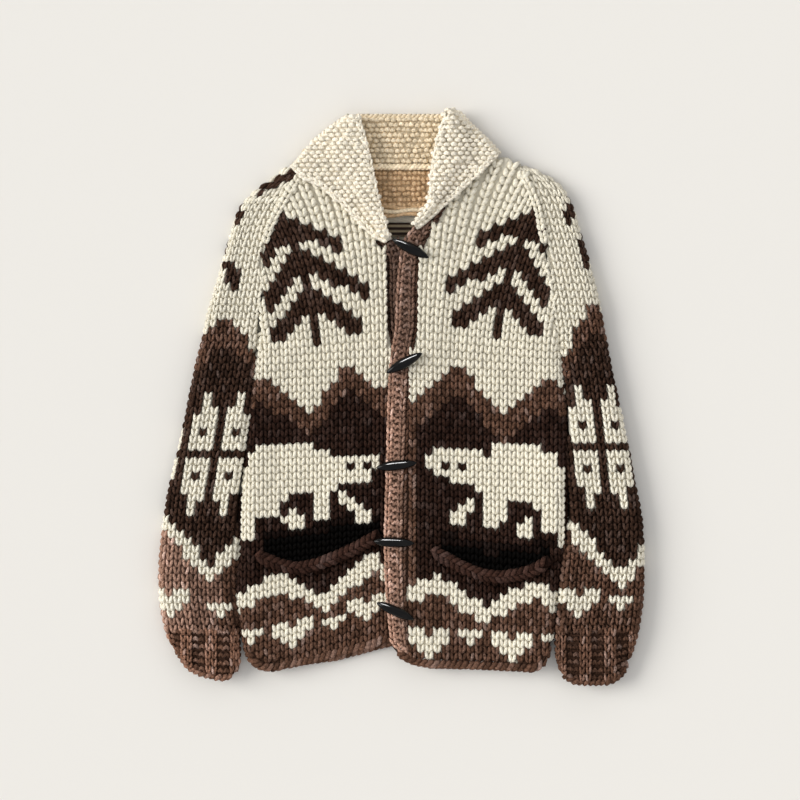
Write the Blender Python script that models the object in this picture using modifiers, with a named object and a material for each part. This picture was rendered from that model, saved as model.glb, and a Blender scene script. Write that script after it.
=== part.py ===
"""Hand-knitted toggle cardigan, laid flat with its front up.

Blender units are metres, +Z up, +Y towards the collar, +X to the viewer's right.
The origin is in the middle of the underside. The working sizes below are in
millimetres. A height is measured up the garment from the lowest cuff.
"""

import math

import bmesh
import bpy
import numpy as np

MM = 0.001

# Overall length
LENGTH = 779.0

# Cloth: two-strand bulky knit, and the gap left where two pieces meet
WALL = 9.0
COLLAR_WALL = 8.2
GAP = 0.35
REST_TOP = 2 * WALL + GAP
LAP = WALL + GAP
ON_TOP = 0.75
SIDE_SEAM = 14.5
RIM_WALL = 0.86
CORNER = 17.0
CORNER_STEPS = tuple(math.radians(angle) for angle in (0, 28, 58, 90))
SIDE_SPREAD = 52.0
LAP_SPREAD = 62.0
SLEEVE_DIP = 3.0

# The side seams close below the lower height, and open into the armholes above it
UNDERARM_LOW = 436.0
UNDERARM_HIGH = 540.0

HEM_DEPTH = 9.5
HEM_START = 55.0
HEM_END = 112.0
HEM_ROWS = (HEM_START, 72.0, 92.0, HEM_END)
SLEEVE_START = 78.0
SLEEVE_SECOND = 94.4

STAND_WIDTH = 29.0
FOLD_RADIUS = 8.7
FOLD_STEPS = tuple(math.radians(angle) for angle in (-60, -30, 0, 30, 60))
WING_SEAM = COLLAR_WALL + GAP
COLLAR_SEAM = 698.4
COLLAR_COLUMNS = 12
NECK_EDGE = 694.0
BACK_END = COLLAR_SEAM - GAP

CUFF_RIBS = 7
RIB_POINTS = 6
RIB_RISE = 2.6
CUFF_WALL = 6.5
RIB_SHIFT = {"left": 24.0, "right": 44.0}

TOGGLE_LENGTH = 56.0
TOGGLE_RADIUS = 7.0
TOGGLE_SIDES = 10
MERGE = 0.00005


def table(columns, *rows):
    """Named columns, with a row for each section."""
    return {name: [row[i] for row in rows] for i, name in enumerate(columns.split())}


def each(named):
    """The rows of a table, in the order of its columns."""
    return zip(*named.values())


# Where the body's folded sides lie; above the underarm these are the raglan seams
BODY = table(
    "height left right",
    (50, 212.0, 201.5),
    (70, 216.5, 206.0),
    (95, 219.0, 208.5),
    (124, 224.0, 211.0),
    (150, 222.5, 214.0),
    (181, 219.0, 221.0),
    (228, 218.5, 223.5),
    (310, 210.0, 223.5),
    (352, 205.5, 222.5),
    (417, 199.0, 219.5),
    (468, 192.5, 212.0),
    (493, 191.0, 209.0),
    (545, 188.0, 202.0),
    (587, 184.0, 194.5),
    (621, 175.5, 187.0),
    (648, 161.0, 182.0),
    (675, 145.5, 170.5),
    (691, 135.5, 161.5),
    (716, 120.0, 143.0),
)

# Outer folds of the sleeves, from the cuff seam to the collar
SLEEVE = table(
    "height left right",
    (76, 318.5, 320.5),
    (103, 324.5, 325.0),
    (142, 327.4, 327.4),
    (181, 325.5, 327.4),
    (228, 319.5, 324.5),
    (271, 312.0, 315.5),
    (324, 299.5, 306.0),
    (367, 290.0, 296.5),
    (425, 279.0, 284.5),
    (474, 267.0, 275.0),
    (516, 257.5, 267.5),
    (551, 246.5, 258.5),
    (591, 235.5, 248.0),
    (625, 225.0, 237.0),
    (648, 216.0, 230.5),
    (662, 205.0, 224.0),
    (676, 184.0, 213.5),
    (690, 166.5, 193.0),
    (702, 151.5, 166.5),
)
SLEEVE_END = {"left": 698.0, "right": 702.0}

# Heights of the sections that neighbouring pieces share, so that their seams agree
SHARED = np.concatenate([
    np.linspace(112, UNDERARM_LOW, 10), np.linspace(UNDERARM_LOW, 603, 8)[1:],
    (619, 635, 651, 668, 684, NECK_EDGE, 702),
])

# Highest level of the folded sides
SIDE_TOP = table("height top", (0, 29.0), (440, 29.0), (545, 26.5), (640, 23.5), (690, 21.0), (730, REST_TOP))

# Inner edges of the fronts above the bands: the neckline under the collar
NECKLINE = {
    "left": table("height reach", (604, 36), (621, 46), (648, 66), (670, 90), (694, 115)),
    "right": table("height reach", (651.5, 60), (671, 78), (692, 96), (712, 118)),
}
FRONT_END = {"left": NECK_EDGE, "right": 714.0}

# The knitted bands: the right one laps over the left one
BANDS = {
    "left": table(
        "height outer inner",
        (55, -10, 12),
        (200, -15, 9),
        (300, -13, 10),
        (400, -11, 12),
        (445, -10, 13),
        (462, -12.5, 12),
        (482, -16, 10),
        (520, -19, 8),
        (571, -19.5, 7),
        (587, -22, 5),
        (603, -35, -4),
    ),
    "right": table(
        "height outer inner",
        (55, 9, -13),
        (115, 5, -19),
        (194, 5, -22),
        (290, 6, -19),
        (385, 10, -17),
        (439, 13, -14),
        (459, 16, -11),
        (479, 20, -7),
        (520, 21, -6),
        (571, 22, -1),
        (587, 25, 1),
        (601, 32, 5),
        (611, 38, 12),
        (624, 47, 25),
        (640, 54, 36),
        (651, 60, 45),
    ),
}

# Lower outlines, the rolled edging included, across the garment
HEMS = {
    "left": table(
        "x height",
        (-213, 52), (-206, 33), (-196, 24), (-178, 19), (-129, 28.5),
        (-110, 33), (-77, 42), (-56, 47), (-38, 51), (-24, 58), (12, 64),
    ),
    "right": table(
        "x height",
        (-16, 54), (-4, 39), (17, 28), (44, 24), (116, 21.5), (178, 19), (190, 23), (199, 38), (203, 55),
    ),
    "back": table(
        "x height",
        (-213, 52), (-206, 34), (-196, 25), (-178, 20.5), (-129, 28), (-84, 34), (-58, 41), (-37, 47),
        (-13, 53), (60, 44), (120, 33), (178, 24), (190, 27), (199, 41), (203, 56),
    ),
}

# Collar wings: each row runs from the folded inner edge to the outer edge. Where
# drop is 1 the cloth rolls over the side of the neck down to the layer below.
WINGS = {
    "left": table(
        "fold_x fold_height edge_x edge_height drop",
        (-10, 601, -20, 597, 0),
        (-16, 614, -40, 606, 0),
        (-20.5, 630.5, -60.5, 625, 0),
        (-26, 650.5, -81.5, 647, 0),
        (-31, 673.5, -110, 671, 0),
        (-35, 694, -138, 684, 0),
        (-37.5, 707, -150, 699.2, 0),
        (-38.5, 712, -151, 702.8, 1),
        (-42.5, 727.5, -135.5, 721, 1),
        (-46.5, 742, -118, 736.5, 1),
        (-50.5, 756, -100, 751, 1),
        (-53, 765, -82, 764, 1),
        (-54.5, 770, -70, 771, 1),
    ),
    "right": table(
        "fold_x fold_height edge_x edge_height drop",
        (13.5, 624, 19.5, 614, 0),
        (24, 637, 35, 625, 0),
        (32, 650.5, 54, 641.5, 0),
        (35, 670.5, 76.5, 660, 0),
        (37.5, 690.5, 98.5, 681, 0),
        (40, 709.5, 120, 701.5, 0),
        (42, 722, 132.5, 714, 0),
        (42.5, 726, 134.5, 718, 1),
        (46.5, 742, 121, 733, 1),
        (51, 754.5, 105.5, 747, 1),
        (55, 765, 93, 759.5, 1),
        (57.5, 774, 82, 771.5, 1),
        (60, 779, 72.5, 779, 1),
    ),
}

# Side edges of the collar's back, from the neck seam to its turned top
COLLAR_BACK = table(
    "height left right stand_left stand_right",
    (698.4, 149.0, 133.0, 52.0, 54.0),
    (721, 134.0, 131.0, 56.0, 58.0),
    (736, 117.0, 117.0, 60.0, 62.0),
    (751, 99.0, 101.0, 64.0, 66.0),
    (764, 81.0, 88.0, 62.0, 68.0),
    (771, 69.0, 82.0, 60.0, 68.0),
)
COLLAR_TOP = 771.0

# Soft folds of the cloth: a ridge along a line, rising above the layer
FOLDS = table(
    "x height length width angle rise",
    (-150, 452, 60, 16, 35, 3.2),
    (-120, 405, 70, 20, 20, 2.2),
    (160, 440, 66, 17, 145, 3.4),
    (128, 398, 60, 22, 160, 2.0),
    (-120, 232, 90, 26, 8, 2.6),
    (118, 226, 90, 26, 172, 2.8),
    (-150, 92, 60, 22, 80, 2.2),
    (150, 96, 60, 22, 100, 2.4),
    (-95, 560, 80, 24, 110, 2.0),
    (112, 566, 80, 24, 70, 2.0),
)

# Cross creases of the sleeves, as troughs from the inner side outwards
CREASES = {
    "left": table(
        "height reach width depth",
        (455, 0.75, 20, 2.6),
        (402, 0.60, 17, 2.2),
        (262, 0.50, 22, 1.8),
        (128, 0.70, 18, 2.2),
    ),
    "right": table(
        "height reach width depth",
        (447, 0.70, 20, 2.6),
        (391, 0.55, 17, 2.0),
        (250, 0.55, 22, 2.0),
        (121, 0.65, 18, 2.2),
    ),
}

# Cuffs, from the sleeve down; sag bows the lower rows down, and tilt lowers the body's side
CUFFS = {
    "left": table(
        "height outer inner tall sag tilt",
        (77.6, 319, 218, 29, 0, 0),
        (62, 315, 217.8, 30, 3, 1),
        (45, 306, 218.5, 30, 6, 3),
        (32, 298.5, 220.5, 29, 9, 5),
        (20, 291, 225.5, 27, 10.5, 7),
    ),
    "right": table(
        "height outer inner tall sag tilt",
        (77.6, 320.5, 207.4, 29, 0, 0),
        (60, 316.5, 206.5, 30, 4, 0),
        (43, 310.5, 207.5, 30, 8, 0),
        (28, 304, 210.5, 29, 11, 0),
        (13.5, 298, 217, 27, 13.5, 0),
    ),
}

# Rolled edges of the pocket mouths, which sag
POCKETS = {
    "left": table(
        "x height",
        (-196, 178), (-182, 171), (-162, 163), (-137, 159), (-107, 166), (-77, 178), (-48, 193), (-27, 205),
    ),
    "right": table(
        "x height",
        (40, 184), (58, 173), (82, 160), (116, 148), (152, 149), (182, 158), (202, 171),
    ),
}
POCKET_WIDTH = 17.0
POCKET_RISE = 9.0

# Patches inside the back of the neck
NECK_PATCHES = table(
    "name left right low high thick roll colour",
    ("neck_facing", -44, 50, 634, BACK_END, 4.5, 3.0, "cream"),
    ("neck_label", -19, 19, 606, 625, 1.6, 0.0, "dark_brown"),
)

TOGGLES = table(
    "x height angle",
    (12.5, 588.5, -27),
    (4.0, 434.5, 29),
    (-6.5, 297.0, 7),
    (-10.0, 193.5, -3),
    (-8.0, 101.0, -24),
)

COLOURS = {
    "cream": (0.62, 0.57, 0.47),
    "mid_brown": (0.085, 0.045, 0.03),
    "dark_brown": (0.03, 0.014, 0.009),
    "horn": (0.006, 0.006, 0.007),
}


def smooth(at, stations, values):
    """A soft curve through the rows of a table."""
    stations = np.asarray(stations, float)
    values = np.asarray(values, float)
    slopes = np.gradient(values, stations)
    at = np.clip(at, stations[0], stations[-1])
    i = np.clip(np.searchsorted(stations, at) - 1, 0, len(stations) - 2)
    span = stations[i + 1] - stations[i]
    t = (at - stations[i]) / span
    start = (1 + 2 * t) * (1 - t) ** 2 * values[i] + t * (1 - t) ** 2 * span * slopes[i]
    end = t * t * (3 - 2 * t) * values[i + 1] + t * t * (t - 1) * span * slopes[i + 1]
    return start + end


def ease(t):
    """From 0 to 1 with soft ends."""
    t = np.clip(t, 0, 1)
    return t * t * (3 - 2 * t)


def mix(a, b, t):
    """a where t is 0, b where it is 1."""
    return a + (b - a) * t


def body_reach(side, height):
    return smooth(height, BODY["height"], BODY[side])


def closed_side(height):
    """1 where the side seam is closed, 0 where the raglan seam lies flat."""
    return 1 - ease((height - UNDERARM_LOW) / (UNDERARM_HIGH - UNDERARM_LOW))


def side_top(height):
    return smooth(height, SIDE_TOP["height"], SIDE_TOP["top"])


def fold_rise(x, height):
    rise = 0.0
    for fold_x, fold_height, length, width, angle, most in each(FOLDS):
        turn = math.radians(angle)
        along = (x - fold_x) * math.cos(turn) + (height - fold_height) * math.sin(turn)
        across = (height - fold_height) * math.cos(turn) - (x - fold_x) * math.sin(turn)
        rise += most * math.exp(-((along / length) ** 2) * 4 - (across / width) ** 2)
    return rise


def band_edge(side, edge, height):
    band = BANDS[side]
    return smooth(height, band["height"], band[edge])


def front_top(x, height):
    """Upper surface of the fronts, which rest on the back between the folded sides."""
    side = "left" if x < 0 else "right"
    inside = max(body_reach(side, height) - abs(x), 0.0)
    top = REST_TOP + (side_top(height) - REST_TOP) * math.exp(-((inside / SIDE_SPREAD) ** 2))
    lap_edge = band_edge("right", "outer", height)
    away = ease((x - lap_edge - 12) / LAP_SPREAD)
    low = ease((720 - height) / 90)
    lap = LAP * (1 - away) * low if x > lap_edge - 1 else 0.0
    clear = ease((abs(x) - 40) / 30) * ease((650 - height) / 60)
    return max(top, REST_TOP + lap) + fold_rise(x, height) * clear


def hem_height(piece, x):
    hem = HEMS[piece]
    return smooth(x, hem["x"], hem["height"])


def sections(start, end):
    """The given first heights, then the shared ones up to the piece's own end."""
    start = list(start)
    return start + [h for h in SHARED if start[-1] + 5 < h < end - 3] + [end]


def laid_height(piece, x, height):
    """Rows near the hem follow its outline, and straighten above it."""
    if height >= HEM_END:
        return height
    return mix(hem_height(piece, x) + HEM_DEPTH, HEM_END, (height - HEM_START) / (HEM_END - HEM_START))


def unit(vector):
    vector = np.asarray(vector, float)
    return vector / np.linalg.norm(vector, axis=-1, keepdims=True)


def inward(section, thick, first, last):
    """The wall's inner points, with the outer side on the left of the section's run.
    first and last turn the wall's two ends.
    """
    run = unit(np.diff(section, axis=0))
    run = np.vstack([run[:1], run[:-1] + run[1:], run[-1:]])
    normal = unit(np.stack([-run[:, 1], run[:, 0]], axis=1))
    normal[0] = unit(first)
    normal[-1] = unit(last)
    return section - thick * normal


def material(name, colour, roughness=0.9):
    made = bpy.data.materials.new(name)
    made.use_nodes = True
    shader = made.node_tree.nodes["Principled BSDF"]
    shader.inputs["Base Color"].default_value = (*colour, 1.0)
    shader.inputs["Roughness"].default_value = roughness
    shader.inputs["Metallic"].default_value = 0.0
    return made


def add_object(name, points, faces, colour):
    mesh = bpy.data.meshes.new(name)
    mesh.from_pydata([tuple(point) for point in points], [], faces)
    edit = bmesh.new()
    edit.from_mesh(mesh)
    bmesh.ops.recalc_face_normals(edit, faces=edit.faces)
    edit.to_mesh(mesh)
    edit.free()
    mesh.shade_smooth()
    mesh.set_sharp_from_angle(angle=math.radians(50))
    mesh.materials.append(material(name, COLOURS[colour]))
    made = bpy.data.objects.new(name, mesh)
    parts.objects.link(made)
    made.parent = root


def world(points):
    """Millimetres with heights from the lowest cuff, to metres about the origin."""
    return (np.asarray(points, float) - (0.0, LENGTH / 2, 0.0)) * MM


def add_wall(name, outer, inner, colour, closed_rows=0):
    """A sheet of cloth with two faces. Its first closed_rows rows are whole rings."""
    outer = np.asarray(outer, float)
    inner = np.asarray(inner, float)
    rows, columns = outer.shape[:2]
    size = rows * columns
    last = columns - 1

    def index(row, column, layer):
        if column == last and row < closed_rows:
            column = 0
        return layer * size + row * columns + column

    faces = []
    for row in range(rows - 1):
        for column in range(last):
            corners = ((row, column), (row, column + 1), (row + 1, column + 1), (row + 1, column))
            faces.append([index(r, c, 0) for r, c in corners])
            faces.append([index(r, c, 1) for r, c in reversed(corners)])
    for row in (0, rows - 1):
        for column in range(last):
            near, far = (index(row, column, 0), index(row, column, 1))
            after, beyond = (index(row, column + 1, 0), index(row, column + 1, 1))
            faces += [[near, after, beyond], [near, beyond, far]]
    for column in (0, last):
        for row in range(max(closed_rows - 1, 0), rows - 1):
            ends = ((row, 0), (row + 1, 0), (row + 1, 1), (row, 1))
            faces.append([index(r, column, layer) for r, layer in ends])
    points = world(np.concatenate([outer.reshape(-1, 3), inner.reshape(-1, 3)]))
    used = sorted({i for face in faces for i in face})
    renumbered = {old: new for new, old in enumerate(used)}
    faces = [[renumbered[i] for i in face] for face in faces]
    add_object(name, points[used], faces, colour)


def add_strip(name, rings, colour):
    """A solid strip through closed rings, with flat ends."""
    rings = np.asarray(rings, float)
    rows, columns = rings.shape[:2]
    faces = []
    for row in range(rows - 1):
        for column in range(columns):
            after = (column + 1) % columns
            near, beside = (row * columns + column, row * columns + after)
            faces += [[near, beside, near + columns], [beside, beside + columns, near + columns]]
    faces.append(list(range(columns)))
    faces.append([(rows - 1) * columns + column for column in range(columns)])
    add_object(name, world(rings.reshape(-1, 3)), faces, colour)


def layer_section(side, height, reach, inner_reach, across=7):
    """Front layer from the side seam to its inner edge, as seen on the left: across, up."""
    flip = -1 if side == "right" else 1
    width = reach - inner_reach
    corner = min(CORNER, 0.42 * width)
    closed = closed_side(height)

    def level(x):
        return front_top(flip * x, height)

    start = mix(level(-reach), SIDE_SEAM, closed)
    shoulder = level(-reach + corner)
    section = []
    for angle in CORNER_STEPS[:3]:
        x = -reach + corner * (1 - math.cos(angle))
        section.append((x, mix(start, shoulder, math.sin(angle))))
    for t in np.linspace(0, 1, across + 1):
        x = mix(-reach + corner, -inner_reach, t ** 1.15)
        section.append((x, level(x)))
    section = np.array(section)
    wall = inward(section, WALL, first=(-closed, 1 - closed), last=(0, 1))
    wall[:, 0] = np.clip(wall[:, 0], -reach, -inner_reach)
    return section, wall


def front_inner_reach(side, height):
    """Distance of a front's inner edge from the middle, positive on its own side."""
    if height <= BANDS[side]["height"][-1]:
        own = -1 if side == "left" else 1
        return own * band_edge(side, "outer", height) + GAP
    return smooth(height, NECKLINE[side]["height"], NECKLINE[side]["reach"]) + GAP


def side_reach(piece, side, height):
    """The body's reach where a row that follows the hem meets the side seam."""
    own = -1 if side == "left" else 1
    return body_reach(side, laid_height(piece, own * LENGTH, height))


def add_front(side):
    flip = -1 if side == "right" else 1
    outer = []
    inner = []
    for height in sections(HEM_ROWS, FRONT_END[side]):
        reach = side_reach(side, side, height)
        pair = layer_section(side, height, reach, front_inner_reach(side, height))
        ys = [laid_height(side, flip * x, height) for x in pair[0][:, 0]]
        for store, section in zip((outer, inner), pair):
            store.append([(flip * x, y, z) for (x, z), y in zip(section, ys)])
    add_wall(f"front_{side}", outer, inner, "cream")
    return np.array(outer), np.array(inner)


def back_section(height):
    """Underside of the body from the left seam to the right one: across, up."""
    closed = closed_side(height)
    seam = (SIDE_SEAM - GAP) * closed
    left = -side_reach("back", "left", height)
    right = side_reach("back", "right", height)
    section = [(left + CORNER * (1 - math.cos(a)), seam * (1 - math.sin(a))) for a in CORNER_STEPS]
    section += [(mix(left + CORNER, right - CORNER, t), 0.0) for t in np.linspace(0, 1, 12)[1:-1]]
    section += [(right - CORNER * (1 - math.cos(a)), seam * (1 - math.sin(a))) for a in CORNER_STEPS[::-1]]
    section = np.array(section)[::-1]
    wall = inward(section, WALL, first=(closed, closed - 1), last=(-closed, closed - 1))
    wall[:, 0] = np.clip(wall[:, 0], left, right)
    return section, wall


def add_back():
    outer = []
    inner = []
    for height in sections(HEM_ROWS, BACK_END):
        pair = back_section(height)
        ys = [laid_height("back", x, height) for x in pair[0][:, 0]]
        for store, section in zip((outer, inner), pair):
            store.append([(x, y, z) for (x, z), y in zip(section, ys)])
    add_wall("back", outer, inner, "cream")
    return np.array(outer), np.array(inner)


def sleeve_level(side, across, height):
    """Upper surface of a sleeve. across runs from 0 at the body to 1 at the outer fold."""
    top = side_top(height) - SLEEVE_DIP * (1 - (2 * across - 1) ** 2)
    for crease, reach, width, depth in each(CREASES[side]):
        fade = ease(across / 0.3) * (1 - ease((across - reach + 0.25) / 0.5))
        slant = crease + 30 * across
        top -= depth * fade * math.exp(-(((height - slant) / width) ** 2))
    return top


def sleeve_section(side, height):
    """Ring of a sleeve, from its back seam edge round the outer fold to its front seam edge."""
    inner_x = -(body_reach(side, height) + GAP)
    outer_x = -smooth(height, SLEEVE["height"], SLEEVE[side])
    width = inner_x - outer_x
    corner = min(CORNER, 0.36 * width, 0.5 * side_top(height))
    closed = closed_side(height)
    angles = CORNER_STEPS
    middle = [mix(inner_x - corner, outer_x + corner, t) for t in (0.25, 0.5, 0.75)]
    seam = SIDE_SEAM * closed

    def level(x):
        return sleeve_level(side, (inner_x - x) / width, height)

    shoulder = level(outer_x + corner)
    fold = shoulder / 2
    section = [(inner_x - corner * (1 - math.cos(a)), seam * (1 - math.sin(a))) for a in angles]
    section += [(x, 0.0) for x in middle]
    section += [(outer_x + corner * (1 - math.cos(a)), fold * (1 - math.sin(a))) for a in angles[:0:-1]]
    section += [(outer_x + corner * (1 - math.cos(a)), mix(fold, shoulder, math.sin(a))) for a in angles]
    section += [(x, level(x)) for x in middle[::-1]]
    shoulder = level(inner_x - corner)
    edge = mix(level(inner_x), SIDE_SEAM, closed)
    section += [(inner_x - corner * (1 - math.cos(a)), mix(edge, shoulder, math.sin(a))) for a in angles[::-1]]
    section = np.array(section)
    thick = min(WALL, 0.22 * width, 0.4 * level((inner_x + outer_x) / 2))
    wall = inward(section, thick, first=(closed, closed - 1), last=(closed, 1 - closed))
    if closed < 1:
        wall[[0, -1]] = mix(section[[0, -1]], wall[[0, -1]], RIM_WALL)
    wall[:, 0] = np.minimum(wall[:, 0], inner_x)
    return section, wall


def add_sleeve(side):
    heights = sections((SLEEVE_START, SLEEVE_SECOND), SLEEVE_END[side])
    flip = -1 if side == "right" else 1
    outer = []
    inner = []
    for height in heights:
        for store, section in zip((outer, inner), sleeve_section(side, height)):
            store.append([(flip * x, height, z) for x, z in section])
    add_wall(f"sleeve_{side}", outer, inner, "cream", closed_rows=heights.index(UNDERARM_LOW) + 1)


def evenly(points, count):
    """The same closed curve through points spaced evenly along it."""
    travelled = np.concatenate([[0], np.cumsum(np.linalg.norm(np.diff(points, axis=0), axis=1))])
    at = np.linspace(0, travelled[-1], count + 1)
    return np.stack([np.interp(at, travelled, points[:, i]) for i in (0, 1)], axis=1), at


def cuff_ring(half, tall, count):
    """A flattened ring about its middle, from the body's side round below the cuff."""
    angles = np.linspace(0, 2 * math.pi, 240)
    across = half * np.sign(np.cos(angles)) * np.abs(np.cos(angles)) ** 0.62
    up = tall / 2 * np.sign(-np.sin(angles)) * np.abs(np.sin(angles)) ** 0.8
    return evenly(np.stack([across, up], axis=1), count)


def add_cuff(side):
    """A ribbed tube. The ribs stand out of its outer points, and its inside is plain."""
    flip = -1 if side == "right" else 1
    outer = []
    inner = []
    for height, far, near, tall, sag, tilt in each(CUFFS[side]):
        middle = np.array((-(far + near) / 2, (tall - RIB_RISE) / 2))
        half = (far - near - RIB_RISE) / 2
        ring, travelled = cuff_ring(half, tall - RIB_RISE, CUFF_RIBS * RIB_POINTS)
        plain = ring * (1 - CUFF_WALL / half, 1 - 2 * CUFF_WALL / (tall - RIB_RISE))
        normal = unit(ring / np.square((half, tall / 2)))
        turns = CUFF_RIBS * (travelled + RIB_SHIFT[side]) / travelled[-1]
        rib = RIB_RISE * (0.5 + 0.5 * np.cos(2 * math.pi * turns))
        raised = ring + middle + normal * (rib * ease((ring[:, 1] + tall / 2 - 2) / 5))[:, None]
        drop = sag * (1 - (ring[:, 0] / half) ** 4) + tilt * ring[:, 0] / half
        for store, points in ((outer, raised), (inner, plain + middle)):
            store.append([(flip * x, height - d, max(z, 0.0)) for (x, z), d in zip(points, drop)])
    add_wall(f"cuff_{side}", outer, inner, "mid_brown", closed_rows=len(outer))


def rounded_ring(left, right, bottom, top):
    """Eight points round a strip's section: across, up."""
    ease_in = 0.3 * (top - bottom)
    return [
        (left + ease_in, bottom), (right - ease_in, bottom), (right, bottom + ease_in), (right, top - ease_in),
        (right - ease_in, top), (left + ease_in, top), (left, top - ease_in), (left, bottom + ease_in),
    ]


def add_band(side):
    band = BANDS[side]
    bottom = WALL + GAP if side == "left" else REST_TOP + GAP
    rings = []
    for height in sections(HEM_ROWS, band["height"][-1]):
        edges = sorted((band_edge(side, "outer", height), band_edge(side, "inner", height)))
        ring = rounded_ring(edges[0], edges[1], bottom, bottom + WALL)
        rings.append([(x, laid_height(side, x, height), z) for x, z in ring])
    add_strip(f"band_{side}", rings, "mid_brown")


def hem_ring(outer_point, inner_point):
    """The rolled edging straight below one place on a panel's lower rim."""
    outer_point = np.asarray(outer_point, float)
    inner_point = np.asarray(inner_point, float)
    middle = (outer_point + inner_point) / 2
    half = (outer_point - inner_point) / 2
    reach = HEM_DEPTH - GAP
    profile = ((0, 1.0), (0.4, 1.0), (0.78, 0.82), (1, 0.3), (1, -0.3), (0.78, -0.82), (0.4, -1.0), (0, -1.0))
    ring = [middle + half * up - (0, GAP + reach * along, 0) for along, up in profile]
    return [(x, y, max(z, 0.0)) for x, y, z in ring]


def add_hem(name, outer, inner, under_band=()):
    """The edging along a panel's lower rim, and on below its band."""
    pairs = list(zip(outer[0], inner[0])) + list(under_band)
    add_strip(name, [hem_ring(a, b) for a, b in pairs], "mid_brown")


def under_band(side):
    """Upper and lower points of a band's lower end, from its seam inwards."""
    bottom = WALL + GAP if side == "left" else REST_TOP + GAP
    pairs = []
    for t in (0.25, 0.6, 1.0):
        x = mix(band_edge(side, "outer", HEM_START), band_edge(side, "inner", HEM_START), t)
        y = laid_height(side, x, HEM_START)
        pairs.append(((x, y, bottom + WALL), (x, y, bottom)))
    return pairs


def add_pocket_edge(side):
    """The rolled edge of a pocket's mouth, made from the front's points, moved out."""
    route = POCKETS[side]
    xs = np.linspace(route["x"][0], route["x"][-1], 14)
    path = np.array([(x, smooth(x, route["x"], route["height"])) for x in xs])
    run = unit(np.gradient(path, axis=0))
    sideways = np.stack([-run[:, 1], run[:, 0]], axis=1)
    profile = ((-0.5, 0.0), (-0.5, 0.5), (-0.28, 0.9), (0.0, 1.0), (0.28, 0.9), (0.5, 0.5), (0.5, 0.0))
    rings = []
    for place, across in zip(path, sideways):
        ring = []
        for out, up in profile:
            x, height = place + across * POCKET_WIDTH * out
            ring.append((x, height, front_top(x, height) + ON_TOP + up * POCKET_RISE))
        rings.append(ring)
    add_strip(f"pocket_edge_{side}", rings, "mid_brown")


def wing_rest(side, x, height):
    """What a collar wing lies on: the fronts, and the lapped band below the right wing."""
    lap = LAP * ease((700 - height) / 45) if side == "right" else 0.0
    return max(front_top(x, height), REST_TOP + lap) + ON_TOP


def wing_section(rest, width, drop):
    """Along a wing's row: the stand below, the turned inner edge, and the fall on top."""
    radius = min(FOLD_RADIUS, 0.4 * width)
    stand = min(STAND_WIDTH, 0.3 * width + 3)
    corner = min(CORNER, 0.3 * width)
    thick = min(COLLAR_WALL, 0.86 * radius, 0.8 * corner)

    def fall(along):
        folded = 1 - ease((along - stand) / (0.35 * width))
        return rest(along) + thick + (2 * radius - thick) * folded

    outer = []
    inner = []
    for along in np.linspace(stand, radius, 3):
        outer.append((along, rest(along)))
        inner.append((along, rest(along) + thick))
    middle = rest(radius) + radius
    for angle in FOLD_STEPS:
        for store, reach in ((outer, radius), (inner, radius - thick)):
            store.append((radius - reach * math.cos(angle), middle + reach * math.sin(angle)))
    for along in np.linspace(radius, width - corner, 6):
        outer.append((along, fall(along)))
        inner.append((along, fall(along) - thick))
    edge = mix(fall(width), WING_SEAM, drop)
    shoulder = fall(width - corner)
    for angle in CORNER_STEPS[2::-1]:
        point = np.array((width - corner * (1 - math.cos(angle)), mix(edge, shoulder, math.sin(angle))))
        normal = unit((drop * math.cos(angle), 1 - drop * (1 - math.sin(angle))))
        outer.append(tuple(point))
        inner.append(tuple(point - thick * normal))
    return outer, inner


def add_wing(side):
    outer = []
    inner = []
    for fold_x, fold_height, edge_x, edge_height, drop in each(WINGS[side]):
        fold = np.array([fold_x, fold_height], float)
        run = np.array([edge_x, edge_height], float) - fold
        width = np.linalg.norm(run)
        run = run / width

        def rest(along):
            return wing_rest(side, *(fold + run * along))

        for store, points in zip((outer, inner), wing_section(rest, width, drop)):
            store.append([(*(fold + run * along), up) for along, up in points])
    add_wall(f"collar_{side}", outer, inner, "cream")


def add_collar_back():
    """The collar behind the neck: a lower layer, a turned top edge, and the stand inside it."""
    radius = COLLAR_WALL + 0.3
    stations = COLLAR_BACK["height"]
    low = np.linspace(COLLAR_SEAM, COLLAR_TOP - radius, 6)

    def edge(name, height):
        return smooth(height, stations, COLLAR_BACK[name])

    outer = []
    inner = []
    for t in np.linspace(0, 1, COLLAR_COLUMNS):
        section = []
        xs = []
        for height in low:
            section.append((height, 0.0))
            xs.append(mix(-edge("left", height), edge("right", height), t))
        for angle in FOLD_STEPS:
            height = COLLAR_TOP - radius + radius * math.cos(angle)
            section.append((height, radius * (1 + math.sin(angle))))
            side_left = mix(edge("left", height), edge("stand_left", height), (angle + 1) / 2)
            side_right = mix(edge("right", height), edge("stand_right", height), (angle + 1) / 2)
            xs.append(mix(-side_left, side_right, t))
        for height in low[::-1]:
            section.append((height, 2 * radius))
            xs.append(mix(-edge("stand_left", height), edge("stand_right", height), t))
        section = np.array(section)
        wall = inward(section * (-1, 1), COLLAR_WALL, first=(0, -1), last=(0, 1)) * (-1, 1)
        outer.append([(x, y, z) for x, (y, z) in zip(xs, section)])
        inner.append([(x, y, z) for x, (y, z) in zip(xs, wall)])
    add_wall("collar_back", outer, inner, "cream")


def add_patch(name, left, right, low, high, thick, roll, colour):
    """A flat patch on the inside of the back, with a rolled lower edge where roll is set."""
    bottom = WALL + GAP
    rings = []
    for height, extra in ((low, roll * 0.4), (low + 2, roll), (low + 8, roll), (low + 12, 0.0), (high, 0.0)):
        ring = rounded_ring(left, right, bottom, bottom + thick + extra)
        rings.append([(x, height, z) for x, z in ring])
    add_strip(name, rings, colour)


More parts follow.
